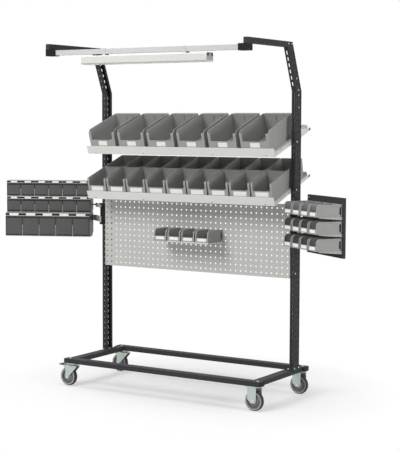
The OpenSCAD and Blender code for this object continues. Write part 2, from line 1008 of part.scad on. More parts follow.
module hung_bin()
{
  front_h = hung_h * 0.4;
  front_w = hung_w - 2 * hung_taper;
  post = 8;
  body_l = hung_l - hook_t - hook_gap;
  difference()
  {
    intersection()
    {
      from_side(-hung_w / 2, hung_w) difference()
      {
        round_view(hung_l, hung_h, hung_nose, hung_lean);
        translate([body_l, -1]) square([hook_gap, hook_z + 1]);
        translate([body_l, -1]) square([hung_l, 12]);
      }
      translate([0, 0, -1]) linear_extrude(hung_h + 2) hung_plan(hung_w);
    }
    intersection()
    {
      from_side(-hung_w / 2, hung_w) hung_hollow(body_l);
      linear_extrude(2 * hung_h) hung_plan(hung_w - 2 * hung_t);
    }
    translate([-front_w / 2 + post, -1, front_h]) cube([front_w - 2 * post, hung_nose + 12, hung_h]);
    label_seat(front_w - 2 * post - 4, front_h * 0.2, front_h * 0.94, hung_lean / hung_h);
    translate([0, 0, hung_h * 0.1]) linear_extrude(hung_h * 0.78) difference()
    {
      translate([-hung_w, hung_l * 0.2]) square([2 * hung_w, hung_l * 0.66]);
      hung_plan(hung_w - 2 * field_t);
    }
  }
}

module hung_row()
{
  for (i = [0 : hung_n - 1])
    translate([(i - (hung_n - 1) / 2) * hung_pitch, -hung_l - 1, seat]) hung_bin();
}

module bin_tray()
{
  back_t = 2;
  back_y = 1 + hook_t + 1;
  ledge_t = 1.5;
  gusset_t = 2;
  translate([-tray_w / 2, -ledge_d, -ledge_t]) cube([tray_w, ledge_d - back_y, ledge_t]);
  translate([-tray_w / 2, -back_y - back_t, -ledge_t]) cube([tray_w, back_t, hook_z - 3 + ledge_t]);
  mirrored() from_side(tray_w / 2 - gusset_t, gusset_t)
    polygon([[-slide, -20], [-slide, 0], [-ledge_d, 0], [-ledge_d, -5]]);
}

module on_panel()
{
  translate([tray_x, panel_y, tray_z]) children();
}

module panel_bin_tray()
{
  color("#cfd0ce") on_panel() bin_tray();
}

module panel_bins()
{
  color("#8a8b8c") on_panel() hung_row();
}

// Swing brackets: a plate on the side of each upright, two lugs and the pin between them

module swing_brackets()
{
  plate_y = upright_y + 2;
  plate_d = 52;
  lug_y = hinge_y - sleeve_r;
  color("#242426") mirrored() union()
  {
    translate([half_w, plate_y, bracket_z]) cube([bracket_t, plate_d, bracket_h]);
    translate([half_w, upright_y - bracket_t, bracket_z]) cube([bracket_t, bracket_t + 3, bracket_h]);
    translate([upright_x + 4, upright_y - bracket_t - seat, bracket_z])
      cube([upright_w - 4 + bracket_t, bracket_t, bracket_h]);
    for (z = [bracket_z, bracket_z + bracket_h - lug_t])
    {
      translate([half_w, lug_y, z]) cube([hinge_out, 2 * sleeve_r, lug_t]);
      translate([hinge_x, hinge_y, z]) cylinder(r = sleeve_r, h = lug_t);
    }
    translate([hinge_x, hinge_y, bracket_z + 1]) cylinder(r = swing_r, h = bracket_h - 2);
  }
}

module sleeve(z, h)
{
  translate([0, 0, z]) difference()
  {
    cylinder(r = sleeve_r, h = h);
    translate([0, 0, -1]) cylinder(r = swing_r + run, h = h + 2);
  }
}

// Two sleeves on the swing pin, each with a flat bar to the point x, y and a tab on to the carrier plate.
module swing_bars(x, y, tab)
{
  reach = norm([x, y]);
  low_h = bracket_h * 0.3;
  top_h = bracket_h * 0.1;
  for (s = [[sleeve_z, low_h], [sleeve_top - top_h, top_h]])
  {
    sleeve(s[0], s[1]);
    rotate([0, 0, atan2(y, x)]) translate([sleeve_r - 2, -4, s[0] + 2])
      cube([reach - sleeve_r + 2, 8, s[1] - 4]);
    translate([min(x - 4, x + 4 + tab), y - carrier_t, s[0] + 3]) cube([abs(tab), carrier_t, s[1] - 6]);
  }
}

module left_frame()
{
  translate([-hinge_x, hinge_y, 0]) rotate([0, 0, left_turn]) children();
}

module right_frame()
{
  translate([hinge_x, hinge_y, 0]) rotate([0, 0, -right_turn]) children();
}

module left_swing_arm()
{
  x1 = -left_reach - 8;
  x0 = -left_reach - tilt_w + 47;
  z0 = cabinet_z + 23;
  h = large_h + 2 * small_h - 43;
  color("#969696") left_frame() union()
  {
    swing_bars(-left_reach + 12, left_back + carrier_t, -34);
    translate([x0, left_back, z0]) cube([x1 - x0, carrier_t, h]);
  }
}

// Tilt bin cabinets, drawn from the lower left front corner

function cabinet_h(r) = r == 3 ? large_h : small_h;
function cabinet_d(r) = r == 3 ? large_d : small_d;
function cabinet_n(r) = r == 3 ? LARGE_N : SMALL_N;
function strip_h(r) = r == 3 ? 24 : 18;
function cup_pitch(r) = (tilt_w - box_t) / cabinet_n(r);
function row_z(r) = cabinet_z + (r == 3 ? 0 : large_h + (2 - r) * small_h);
function cup_r(r) = cabinet_h(r) - strip_h(r) - cup_z - 0.5;

module at_cabinet(r)
{
  left_frame() translate([-left_reach - tilt_w, left_back - cabinet_d(r) - seat, row_z(r)]) children();
}

module wall_view(r)
{
  d = cabinet_d(r);
  h = cabinet_h(r) - seat;
  cut = cabinet_d(r) * 0.3;
  difference()
  {
    polygon([[0, 0], [d - cut, 0], [d, cut * 0.8], [d, h], [0, h]]);
    translate([cup_y, cup_z]) circle(r = cup_pin_r + run);
  }
}

module cabinet(r)
{
  d = cabinet_d(r);
  h = cabinet_h(r) - seat;
  n = cabinet_n(r);
  cut = d * 0.3;
  back_t = 2;
  window_w = 52;
  difference()
  {
    union()
    {
      for (i = [0 : n]) from_side(i * cup_pitch(r), box_t) wall_view(r);
      from_side(0, tilt_w) polygon([[0, 0], [d - cut, 0], [d, cut * 0.8], [d, h], [0, h],
        [0, h - strip_h(r)], [back_t, h - strip_h(r)], [back_t, h - back_t], [d - back_t, h - back_t],
        [d - back_t, cut * 0.8 + 1], [d - cut - 1, back_t - 0.5], [back_t, back_t - 0.5], [back_t, sill_h],
        [0, sill_h]]);
    }
    for (i = [0 : n])
    {
      middle = i * cup_pitch(r) + box_t / 2;
      x0 = max(box_t, middle - window_w / 2);
      x1 = min(tilt_w - box_t, middle + window_w / 2);
      translate([x0, -1, h - strip_h(r) * 0.72]) cube([x1 - x0, back_t + 1.5, strip_h(r) * 0.5]);
    }
  }
}

module tilt_housings()
{
  color("#707174") for (r = [1 : 3]) at_cabinet(r) cabinet(r);
}

// Side view of a tilt bin: a sector about its pin, with a rounded heel and a pull lip.
module sector_view(r, inset)
{
  big = 2 * cup_r(r);
  angle = r == 3 ? 70 : 68;
  intersection()
  {
    translate([cup_y, cup_z]) circle(r = cup_r(r) - inset, $fn = 96);
    polygon([[cup_y - cup_round + inset, cup_z], [cup_y - cup_round + inset, big],
      [cup_y + big * sin(angle), cup_z + big],
      [cup_y + big * sin(angle), cup_z + big * cos(angle) + 1.2 * inset],
      [cup_y, cup_z - cup_round + 1.4 * inset]]);
  }
}

module cup_view(r)
{
  lip_z = cup_z + cup_r(r) - 5;
  heel = cup_y - cup_round;
  sector_view(r, 0);
  translate([cup_y, cup_z]) circle(r = cup_round);
  polygon([[heel + 1, lip_z - 7], [heel, lip_z - 7], [heel - 5, lip_z - 1], [heel - 5, lip_z + 2],
    [heel + 1, lip_z + 2]]);
}

module cup_hollow(r)
{
  big = 2 * cup_r(r);
  sector_view(r, cup_t);
  intersection()
  {
    translate([cup_y, cup_z]) circle(r = cup_r(r) + 2, $fn = 96);
    polygon([[cup_y - cup_round + cup_t, cup_z + 20], [cup_y - cup_round + cup_t, cup_z + big],
      [cup_y + big * sin(42), cup_z + big * cos(42)], [cup_y + 4, cup_z + 6]]);
  }
}

module tilt_bin(r, c)
{
  w = cup_pitch(r) - box_t - 2 * cup_side;
  x0 = (c - 1) * cup_pitch(r) + box_t + cup_side;
  pin_l = cup_side + box_t * 0.45;
  color("#5c5d60") at_cabinet(r)
  {
    difference()
    {
      from_side(x0, w) cup_view(r);
      from_side(x0 + cup_t, w - 2 * cup_t) cup_hollow(r);
    }
    for (x = [x0 - pin_l, x0 + w - 1]) from_side(x, pin_l + 1)
      translate([cup_y, cup_z]) circle(r = cup_pin_r);
  }
}

// Right carrier: a folded sheet panel on a swing arm, with three rows of hung bins

module right_swing_arm()
{
  y = side_front + side_fold;
  color("#969696") right_frame() union()
  {
    swing_bars(side_reach - 8, y + carrier_t, 34);
    translate([side_reach + 8, y, side_z + 32]) cube([side_w - 64, carrier_t, side_h - 64]);
  }
}

module right_bin_panel()
{
  face_t = 1.5;
  color("#33343a") right_frame() translate([side_reach, side_front, side_z]) difference()
  {
    cube([side_w, side_fold - seat, side_h]);
    translate([face_t, face_t, face_t]) cube([side_w - 2 * face_t, side_fold, side_h - 2 * face_t]);
  }
}

module on_side_panel()
{
  right_frame() for (row = [0 : 2])
    translate([side_reach + side_w / 2, side_front, side_z + row_up + row * row_pitch]) children();
}

module right_bin_trays()
{
  color("#cfd0ce") on_side_panel() bin_tray();
}

module right_bins()
{
  color("#8a8b8c") on_side_panel() hung_row();
}

base_rails();
rail_end_caps();
frame_bolts();
swivel_plates();
fork_fl();
fork_rl();
fixed_forks();
axle_fl();
axle_rl();
fixed_axles();
tyre_fl();
tyre_rl();
tyre_fr();
tyre_rr();
wheel_centre_fl();
wheel_centre_rl();
wheel_centre_fr();
wheel_centre_rr();
brake_pedal_fl();
brake_pedal_rl();
left_upright();
right_upright();
light_arms();
rail_clamps();
cross_rail();
lamp_housing();
lamp_diffuser();
lamp_hangers();
upper_shelf();
lower_shelf();
shelf_arms();
perforated_panel();
panel_bin_tray();
panel_bins();
upper_bins();
lower_bins();
swing_brackets();
left_swing_arm();
tilt_housings();
right_swing_arm();
right_bin_panel();
right_bin_trays();
right_bins();
for (i = [0 : len(TILT) - 1])
  tilt_bin(TILT[i][0], TILT[i][1]);
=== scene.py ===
import json
import math

import bmesh
import bpy
from mathutils import Matrix, Vector


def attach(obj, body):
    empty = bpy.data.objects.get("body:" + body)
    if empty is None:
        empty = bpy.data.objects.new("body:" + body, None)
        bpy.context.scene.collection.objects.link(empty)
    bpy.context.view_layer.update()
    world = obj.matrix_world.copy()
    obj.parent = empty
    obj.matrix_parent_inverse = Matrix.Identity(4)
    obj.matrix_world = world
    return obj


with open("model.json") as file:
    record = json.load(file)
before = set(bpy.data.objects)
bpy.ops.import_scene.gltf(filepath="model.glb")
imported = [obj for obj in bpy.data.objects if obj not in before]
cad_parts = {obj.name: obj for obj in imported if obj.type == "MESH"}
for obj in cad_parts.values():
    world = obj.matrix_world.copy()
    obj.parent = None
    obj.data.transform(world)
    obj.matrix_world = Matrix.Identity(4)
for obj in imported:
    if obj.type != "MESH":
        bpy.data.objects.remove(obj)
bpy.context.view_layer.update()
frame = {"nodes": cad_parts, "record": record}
nodes = frame["nodes"]

SIDES = (-1, 1)
QUARTER = math.pi / 2


# Sizes repeated from the solids, in metres

HALF_W = 0.750
SEAT = 0.0001
UPRIGHT_FRONT = 0.112
UPRIGHT_REAR = 0.187
BRACKET_T = 0.006
CARRIER_T = 0.003

WHEEL_R = 0.0625
TYRE_SIDE = 0.016
CASTOR_X = 0.697
CASTOR_Y = 0.295
TRAIL = 0.034
PEDAL_X = 0.052
PEDAL_Z = 0.1282

SHELF_Y = -0.090
UPPER_Z = 1.548
LOWER_Z = 1.246
SHELF_TILT = math.radians(20)
SHELF_FLOOR = 0.018
BIN_SETBACK = 0.003
BIG_COUNT = 6
BIG_PITCH = 0.233
BIG_LEAN = 8 / 126
MID_COUNT = 9
MID_PITCH = 0.158
MID_ROW = 0.218
MID_LEAN = 13 / 106

HUNG_COUNT = 4
HUNG_PITCH = 0.107
HUNG_FRONT = -0.175
HUNG_LEAN = 5 / 75
TRAY_END = 0.215
TRAY_X = 0.010
TRAY_Z = 0.988
PANEL_Y = 0.105

HINGE_X = 0.772
HINGE_Y = 0.130
LEFT_TURN = math.radians(25)
LEFT_REACH = 0.087
LEFT_BACK = 0.149
CABINET_W = 0.600
BOX_T = 0.003
RIGHT_TURN = math.radians(34.5)
RIGHT_REACH = 0.046
RIGHT_FRONT = 0.0325
RIGHT_BACK = 0.0505
RIGHT_W = 0.450
RIGHT_Z = 0.950
RIGHT_ROWS = 3
ROW_Z = 0.046
ROW_PITCH = 0.102

LAMP_HALF = 0.466
LAMP_Y = -0.458
LAMP_FRONT = -0.498
LAMP_LOW = 2.130
LAMP_TOP = 2.178


# Materials


class Look:
    """A material with a short way to add and link its nodes."""

    def __init__(self, name):
        self.mat = bpy.data.materials.new(name)
        self.mat.use_nodes = True
        self.tree = self.mat.node_tree
        self.shader = self.tree.nodes["Principled BSDF"]
        self.coords = self.add("ShaderNodeTexCoord")

    def add(self, kind, **values):
        """Adds a node and sets its properties, or else its inputs, by name."""
        node = self.tree.nodes.new(kind)
        for key, value in values.items():
            if hasattr(node, key):
                setattr(node, key, value)
            else:
                node.inputs[key.replace("_", " ").title()].default_value = value
        return node

    def link(self, source, target):
        self.tree.links.new(source, target)

    def noise(self, scale, detail=3.0):
        node = self.add("ShaderNodeTexNoise", scale=scale, detail=detail, roughness=0.55)
        self.link(self.coords.outputs["Object"], node.inputs["Vector"])
        return node.outputs["Fac"]

    def ramp(self, source, low, high, start, end):
        """Maps the stretch from low to high on to the one from start to end."""
        node = self.add("ShaderNodeMapRange", from_min=low, from_max=high, to_min=start, to_max=end)
        self.link(source, node.inputs["Value"])
        return node.outputs["Result"]

    def mix(self, factor, first, second):
        """Mixes two colours, each a plain colour or the output of a node."""
        node = self.add("ShaderNodeMix", data_type="RGBA")
        self.link(factor, node.inputs["Factor"])
        for name, value in (("A", first), ("B", second)):
            socket = next(s for s in node.inputs if s.name == name and s.type == "RGBA")
            if isinstance(value, tuple):
                socket.default_value = value
            else:
                self.link(value, socket)
        return next(s for s in node.outputs if s.type == "RGBA")

    def product(self, first, second):
        node = self.add("ShaderNodeMath", operation="MULTIPLY")
        self.link(first, node.inputs[0])
        self.link(second, node.inputs[1])
        return node.outputs["Value"]

    def colour(self, source):
        self.link(source, self.shader.inputs["Base Color"])

    def specular(self, level):
        self.shader.inputs["Specular IOR Level"].default_value = level

    def roughness(self, scale, low, high):
        """Roughness that wanders from low to high."""
        self.link(self.ramp(self.noise(scale), 0.3, 0.7, low, high), self.shader.inputs["Roughness"])

    def soft_edges(self, radius):
        """A normal that rounds the edges off."""
        return self.add("ShaderNodeBevel", samples=4, radius=radius).outputs["Normal"]

    def grain(self, scale, detail, strength, depth, normal=None):
        """Fine relief on top of the given normal."""
        bump = self.add("ShaderNodeBump", strength=strength, distance=depth)
        self.link(self.noise(scale, detail), bump.inputs["Height"])
        if normal is not None:
            self.link(normal, bump.inputs["Normal"])
        self.link(bump.outputs["Normal"], self.shader.inputs["Normal"])


def rgb(code, gain=1.0):
    """A hex colour as linear numbers."""
    out = []
    for i in (0, 2, 4):
        c = int(code[i:i + 2], 16) / 255
        out.append(gain * (c / 12.92 if c <= 0.04045 else ((c + 0.055) / 1.055) ** 2.4))
    return (*out, 1.0)


def grey(level):
    return (level, level, level, 1)


def worn_and_highlit_edges(look, normal, colour, code, wear_and_highlight):
    """Makes the colour paler where the softened normal departs from the true one: part rubbed wear, part
    painted highlight on the edges.
    """
    geometry = look.add("ShaderNodeNewGeometry")
    dot = look.add("ShaderNodeVectorMath", operation="DOT_PRODUCT")
    look.link(normal, dot.inputs[0])
    look.link(geometry.outputs["Normal"], dot.inputs[1])
    edge = look.ramp(dot.outputs["Value"], 0.8, 0.995, 1.0, 0.0)
    patches = look.ramp(look.noise(60.0, 4.0), 0.4, 0.7, 0.2, 1.0)
    rubbed_and_highlit = look.ramp(look.product(edge, patches), 0, 1, 0, wear_and_highlight)
    red, green, blue, alpha = rgb(code)
    pale = tuple(min(1.0, c * 1.9 + 0.02) for c in (red, green, blue)) + (alpha,)
    return look.mix(rubbed_and_highlit, colour, pale)


def surface(name, code, rough, grain, bump, mottle=0.05, wear_and_highlight=0.0, edge=0.0006, specular=0.4):
    """Paint, plastic or rubber: mottled colour, fine specks and grain, soft edges and paler edges that are
    part wear and part painted highlight.
    """
    look = Look(name)
    colour = look.mix(look.noise(7.0, 4.0), rgb(code, 1 - mottle), rgb(code, 1 + mottle))
    specks = look.ramp(look.noise(grain * 0.25, 2.0), 0.35, 0.75, 0.0, 0.12)
    colour = look.mix(specks, colour, rgb(code, 0.8))
    normal = look.soft_edges(edge)
    if wear_and_highlight:
        colour = worn_and_highlit_edges(look, normal, colour, code, wear_and_highlight)
    look.colour(colour)
    look.roughness(35.0, rough - 0.06, rough + 0.06)
    look.specular(specular)
    look.grain(grain, 2.0, bump, 0.0004, normal)
    return look.mat


def zinc(name, code, rough, metal=0.75):
    """Passivated zinc: a faint spangle and an uneven polish."""
    look = Look(name)
    cells = look.add("ShaderNodeTexVoronoi", scale=140.0)
    look.link(look.coords.outputs["Object"], cells.inputs["Vector"])
    spangle = look.ramp(cells.outputs["Color"], 0.0, 1.0, 0.0, 1.0)
    colour = look.mix(spangle, rgb(code, 0.93), rgb(code, 1.06))
    look.colour(look.mix(look.noise(18.0, 4.0), colour, rgb(code, 0.97)))
    look.roughness(220.0, rough - 0.06, rough + 0.08)
    look.shader.inputs["Metallic"].default_value = metal
    look.grain(600.0, 2.0, 0.04, 0.0003, look.soft_edges(0.0008))
    return look.mat


def tyre_rubber():
    """Dark tread and paler side walls, told apart by the direction that a face looks in."""
    look = Look("tyre_rubber_look")
    axis = look.add("ShaderNodeSeparateXYZ")
    look.link(look.coords.outputs["Normal"], axis.inputs["Vector"])
    sideways = look.add("ShaderNodeMath", operation="ABSOLUTE")
    look.link(axis.outputs["Y"], sideways.inputs[0])
    dust = look.noise(90.0, 5.0)
    tread = look.mix(dust, rgb("3a3a3c"), rgb("474748"))
    wall = look.mix(dust, rgb("747475"), rgb("828282"))
    look.colour(look.mix(look.ramp(sideways.outputs["Value"], 0.55, 0.9, 0.0, 1.0), tread, wall))
    look.roughness(140.0, 0.62, 0.8)
    look.specular(0.25)
    look.grain(800.0, 3.0, 0.12, 0.0004)
    return look.mat


def label_paper():
    """Label card: white with faint flecks and a fine grain."""
    look = Look("label_paper")
    look.colour(look.mix(look.noise(420.0, 5.0), rgb("efefea"), rgb("fbfbf8")))
    look.roughness(60.0, 0.5, 0.68)
    look.grain(1500.0, 4.0, 0.05, 0.0002)
    return look.mat


# The plain values of a surface are its name, colour, roughness, grain scale, grain strength and mottle.
FRAME_PAINT = surface("frame_paint_look", "3c3d40", 0.62, 1100, 0.09, 0.04, wear_and_highlight=0.3, specular=0.12)
CAP_BLACK = surface("cap_plastic_look", "171719", 0.55, 1600, 0.07, 0.06, wear_and_highlight=0.2, specular=0.15)
BRACKET = surface("bracket_black_look", "1d1d1f", 0.55, 1100, 0.09, wear_and_highlight=0.25, specular=0.12)
PEDAL = surface("pedal_plastic_look", "2c2d31", 0.5, 1500, 0.08, wear_and_highlight=0.25)
WHEEL = surface("wheel_plastic_look", "7e7e7f", 0.44, 1300, 0.05, wear_and_highlight=0.2)
RAIL_WHITE = surface("rail_white_look", "cbcccc", 0.38, 1000, 0.04, 0.012)
LAMP_WHITE = surface("lamp_white_look", "dadad6", 0.4, 1000, 0.04, 0.012)
# A darker copy of the lamp's white, painted shade for its end plates; the lamp's screws take it too.
LAMP_END_SHADED = surface("lamp_end_shaded_look", "bfc0bd", 0.45, 1000, 0.04, 0.015)
DIFFUSER = surface("diffuser_look", "f0f0ea", 0.32, 1800, 0.02, 0.01)
SHELF = surface("shelf_paint_look", "e9e9e5", 0.42, 1000, 0.06, 0.015, wear_and_highlight=0.1)
PANEL = surface("panel_paint_look", "cbcbc7", 0.44, 1000, 0.06, 0.015)
# Two copies of one tray paint: the paler one is painted light, the greyer one painted shade.
LIT_TRAY = surface("lit_tray_look", "e4e4e1", 0.42, 1000, 0.06, 0.015, wear_and_highlight=0.1)
SHADED_TRAY = surface("shaded_tray_look", "b4b4b2", 0.44, 1000, 0.06, 0.015, wear_and_highlight=0.1)
# The bins' strong paler edges are mostly a painted highlight along their rims and posts, with some wear.
BIN = surface("bin_plastic_look", "a3a3a2", 0.5, 1700, 0.08, 0.03, wear_and_highlight=0.6, edge=0.0011)
HOUSING = surface("housing_plastic_look", "484846", 0.48, 1500, 0.05, 0.03, wear_and_highlight=0.2)
# The tilt bins' plastic, darker than their faces: painted shade where it shows as a border round each face.
CUP_SHADED = surface("tilt_plastic_shaded_look", "3a3a39", 0.42, 1500, 0.03, 0.03, wear_and_highlight=0.15, edge=0.0009, specular=0.3)
CUP_FACE = surface("tilt_face_look", "505050", 0.34, 1500, 0.03, 0.03, edge=0.0009, specular=0.45)
STRIP = surface("strip_plastic_look", "b6b6b2", 0.4, 1400, 0.03, 0.015)
EDGE = surface("edge_plastic_look", "c4c4be", 0.45, 1400, 0.03, 0.015)
RING = surface("ring_plastic_look", "cfcfca", 0.5, 1300, 0.05, 0.03)
# Grey for the strip low on the lamp, painted shade for the diffuser's lower bevel.
LAMP_SHADE_STRIP = surface("lamp_shade_strip_look", "8f8f8b", 0.6, 1200, 0.1, specular=0.3)
# Dark rubber for the seals and plugs, also used as painted shade for the slots in the hung bins.
SEAL_AND_SLOT_SHADE = surface("seal_rubber_and_slot_shade_look", "1d1d1f", 0.7, 1200, 0.1, specular=0.2)
FORK_ZINC = zinc("fork_zinc_look", "bfcac4", 0.36)
BOLT_ZINC = zinc("bolt_zinc_look", "d6d8d6", 0.3)
ARM_ZINC = zinc("arm_zinc_look", "b2b2b0", 0.5, metal=0.3)
TYRE = tyre_rubber()
PAPER = label_paper()

LOOKS = {
    "frame_paint": FRAME_PAINT, "cap_plastic": CAP_BLACK, "bolt_zinc": BOLT_ZINC, "fork_zinc": FORK_ZINC,
    "tyre_rubber": TYRE, "wheel_plastic": WHEEL, "pedal_plastic": PEDAL, "rail_white": RAIL_WHITE,
    "lamp_white": LAMP_WHITE, "diffuser": DIFFUSER, "shelf_paint": SHELF, "panel_paint": PANEL,
    "bin_plastic": BIN, "housing_plastic": HOUSING, "tilt_plastic": CUP_SHADED, "bracket_black": BRACKET,
    "arm_zinc": ARM_ZINC,
}
for part in frame["record"]["subparts"]:
    materials = nodes[part["node"]].data.materials
    materials.clear()
    materials.append(LOOKS[part["material_slot"]])
# The panel's tray takes the paler copy, painted light; the trays on the right carrier take the greyer copy,
# painted shade.
nodes["panel_bin_tray"].data.materials[0] = LIT_TRAY
nodes["right_bin_trays"].data.materials[0] = SHADED_TRAY


# Building blocks of the small pieces

CORNER_STEPS = 4
CROWN_STEPS = 14
SCREW_STEPS = 20
WHEEL_STEPS = 64
SEAL_STEPS = 48
ON_AXIS = 1e-6


def piece(name, bm, mat, body):
    """Makes a mesh object from bm that rides on a body."""
    mesh = bpy.data.meshes.new(name)
    bmesh.ops.recalc_face_normals(bm, faces=bm.faces)
    bm.to_mesh(mesh)
    bm.free()
    mesh.materials.append(mat)
    obj = bpy.data.objects.new(name, mesh)
    bpy.context.scene.collection.objects.link(obj)
    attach(obj, body)


def place(x, y, z, turn=0.0, tilt=0.0):
    """A frame that is tilted about X, then turned about Z, then moved."""
    return Matrix.Translation((x, y, z)) @ Matrix.Rotation(turn, 4, "Z") @ Matrix.Rotation(tilt, 4, "X")


def outward(x, y, z, side):
    """A frame on the left or the right whose -Y axis looks away from the middle."""
    return place(side * x, y, z, turn=side * QUARTER)


def facing(point, direction):
    """A frame at point whose Z axis looks in direction."""
    return Matrix.Translation(point) @ Vector(direction).to_track_quat("Z", "Y").to_matrix().to_4x4()


def spread(count, pitch):
    """Places in a row about its middle."""
    return [(i - (count - 1) / 2) * pitch for i in range(count)]


def skin(bm, rings):
    """Joins rings of points into a closed shell."""
    count = len(rings[0])
    for low, high in zip(rings, rings[1:]):
        for i in range(count):
            j = (i + 1) % count
            bm.faces.new((low[i], low[j], high[j], high[i]))
    bm.faces.new(rings[0])
    bm.faces.new(list(reversed(rings[-1])))


def slab(bm, at, w, h, t, r):
    """A plate in its own X-Z plane with rounded corners and its face at -Y."""
    outline = []
    for sx, sz, start in ((1, 1, 0), (-1, 1, 90), (-1, -1, 180), (1, -1, 270)):
        for k in range(CORNER_STEPS + 1):
            a = math.radians(start + 90 * k / CORNER_STEPS)
            outline.append((sx * (w / 2 - r) + r * math.cos(a), sz * (h / 2 - r) + r * math.sin(a)))
    inset = min(t * 0.3, r * 0.5)
    rings = []
    for y, shrink in ((0.0, 0.0), (-t + inset, 0.0), (-t, inset)):
        kx = 1 - 2 * shrink / w
        kz = 1 - 2 * shrink / h
        rings.append([bm.verts.new(at @ Vector((x * kx, y, z * kz))) for x, z in outline])
    skin(bm, rings)


def crowned(bm, at, w, h, t, crown):
    """A plate in its own X-Z plane whose face at -Y swells across its width."""
    inset = t * 0.6
    rings = []
    for z, shrink in ((-h / 2, inset), (-h / 2 + t, 0.0), (h / 2 - t, 0.0), (h / 2, inset)):
        half = w / 2 - shrink
        ring = [bm.verts.new(at @ Vector((side * half, 0, z))) for side in SIDES]
        for k in range(CROWN_STEPS + 1):
            s = 1 - 2 * k / CROWN_STEPS
            ring.append(bm.verts.new(at @ Vector((half * s, shrink - t - crown * (1 - s * s), z))))
        rings.append(ring)
    skin(bm, rings)


def turned(bm, at, profile, steps):
    """A turned piece about its own Z axis, from (radius, height) points that close or end on the axis."""
    turns = [2 * math.pi * k / steps for k in range(steps)]
    rings = []
    for r, z in profile:
        if r < ON_AXIS:
            rings.append([bm.verts.new(at @ Vector((0, 0, z)))])
        else:
            rings.append([bm.verts.new(at @ Vector((r * math.cos(a), r * math.sin(a), z))) for a in turns])
    closed = profile[0][0] > ON_AXIS
    for a, b in zip(rings, rings[1:] + rings[:1] if closed else rings[1:]):
        for k in range(steps):
            j = (k + 1) % steps
            corners = [a[k % len(a)], a[j % len(a)], b[j % len(b)], b[k % len(b)]]
            bm.faces.new(list(dict.fromkeys(corners)))


def screw(bm, at, r, h):
    """A domed screw head with a socket, which stands up along the Z axis of its frame."""
    low = 0.45 * h
    profile = ((0, low), (0.42 * r, low), (0.45 * r, 0.98 * h), (0.62 * r, h), (0.86 * r, 0.82 * h),
               (r, low), (r, 0), (0, 0))
    turned(bm, at, profile, SCREW_STEPS)


# Frames of the shelves, the swing carriers and the trays of hung bins


def slope(z):
    """The frame of a shelf, at the lower edge of its lip."""
    return place(0, SHELF_Y, z, tilt=SHELF_TILT)


LEFT = place(-HINGE_X, HINGE_Y, 0, turn=LEFT_TURN)
RIGHT = place(HINGE_X, HINGE_Y, 0, turn=-RIGHT_TURN)
PANEL_TRAY = place(TRAY_X, PANEL_Y, TRAY_Z)
RIGHT_TRAYS = [RIGHT @ place(RIGHT_REACH + RIGHT_W / 2, RIGHT_FRONT, RIGHT_Z + ROW_Z + row * ROW_PITCH)
               for row in range(RIGHT_ROWS)]


# Label cards on the bins

CARD_T = 0.0007
CARD_R = 0.002
CARD_DEPTH = 0.00085
HUNG_CARD_W = 0.066
HUNG_CARD_H = 0.019
HUNG_CARD_UP = 0.0172


def card_seat(x, front, up, lean):
    """The seat of a card in the label field, up the front of a bin that leans back."""
    return place(x, front + CARD_DEPTH + lean * up, up, tilt=-lean)


def shelf_labels(name, shelf_z, rows, places, w, h, up, lean):
    bm = bmesh.new()
    for row in rows:
        at = slope(shelf_z) @ place(0, BIN_SETBACK + row, SHELF_FLOOR + SEAT)
        for x in places:
            slab(bm, at @ card_seat(x, 0, up, lean), w, h, CARD_T, CARD_R)
    piece(name, bm, PAPER, "frame")


def hung_labels(name, tray, body):
    bm = bmesh.new()
    for x in spread(HUNG_COUNT, HUNG_PITCH):
        seat = card_seat(x, HUNG_FRONT, HUNG_CARD_UP, HUNG_LEAN)
        slab(bm, tray @ seat, HUNG_CARD_W, HUNG_CARD_H, CARD_T, CARD_R)
    piece(name, bm, PAPER, body)


shelf_labels("upper_labels", UPPER_Z, (0.0,), spread(BIG_COUNT, BIG_PITCH),
             w=0.068, h=0.030, up=0.0556, lean=BIG_LEAN)
shelf_labels("lower_labels", LOWER_Z, (0.0, MID_ROW), spread(MID_COUNT, MID_PITCH),
             w=0.094, h=0.029, up=0.0520, lean=MID_LEAN)
hung_labels("panel_labels", PANEL_TRAY, "frame")
for row, tray in enumerate(RIGHT_TRAYS, 1):
    hung_labels(f"right_labels_{row}", tray, "right_carrier")


# Dark plates on the outer sides of the hung bins: painted shade for the slots there

SLOT_W = 0.0100
SLOT_H = 0.0460
SLOT_T = 0.0011
SLOT_R = 0.0012
SLOT_X = 0.2122
SLOT_Y = -0.0145
SLOT_Z = 0.0360


# Dark plates that are painted shade for the slots in the sides of the hung bins.
def side_slot_shades(name, tray, body):
    bm = bmesh.new()
    for side in SIDES:
        slab(bm, tray @ outward(SLOT_X, SLOT_Y, SLOT_Z, side), SLOT_W, SLOT_H, SLOT_T, SLOT_R)
    piece(name, bm, SEAL_AND_SLOT_SHADE, body)


side_slot_shades("panel_bin_slot_shades", PANEL_TRAY, "frame")
for row, tray in enumerate(RIGHT_TRAYS, 1):
    side_slot_shades(f"right_bin_slot_shades_{row}", tray, "right_carrier")


# Lip in front of the panel's tray, and a wedge at each end of the tray, in the paler copy of the tray paint:
# painted light

LIP_LEFT = -0.106
LIP_FRONT = -0.1775
LIP_H = 0.0066
LIP_T = 0.0012
LIP_R = 0.0006
LIP_Z = -0.0036
LEDGE_REAR = -0.1585
LEDGE_Z = -0.0015
WEDGE_TOP = -0.0003
WEDGE_REAR = (-0.0030, 0.0160, 0.0195)
WEDGE_FRONT = (-0.1590, 0.0034, 0.0045)


def tray_wedge(bm, side):
    """A wedge that narrows from the rear to the front, each end given as its place, width and drop."""
    start = TRAY_END + SEAT
    rings = []
    for y, wide, drop in (WEDGE_REAR, WEDGE_FRONT):
        corners = ((0, WEDGE_TOP), (wide, -drop), (0, -drop))
        rings.append([bm.verts.new(PANEL_TRAY @ Vector((side * (start + x), y, z))) for x, z in corners])
    skin(bm, rings)


